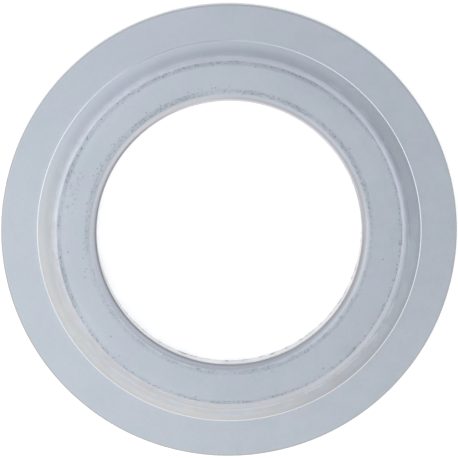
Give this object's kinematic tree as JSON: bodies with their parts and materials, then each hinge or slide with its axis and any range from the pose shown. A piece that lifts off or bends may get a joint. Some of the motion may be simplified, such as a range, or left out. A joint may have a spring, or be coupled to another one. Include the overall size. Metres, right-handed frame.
{
  "type": "reducing washer",
  "caption": "Pressed steel reducing washer: flat round flange, sloped shoulder, raised flat hub and turned-down bore collar, to fit a small conduit fitting in a larger knockout.",
  "frame": {"origin": "on the bore axis, in the plane of the flange's back, on which the washer lies", "axes": "+Z along the bore axis from the flange's back to the hub's face; X and Y are any two directions across it, because the form is round"},
  "size_m": [0.0596, 0.0596, 0.0038],
  "materials": {
    "zinc_plate": "satin zinc plating, bluish grey, with small dark pits along the bends"
  },
  "bodies": {
    "root": {"reducing_washer": "zinc_plate"}
  },
  "joints": []
}
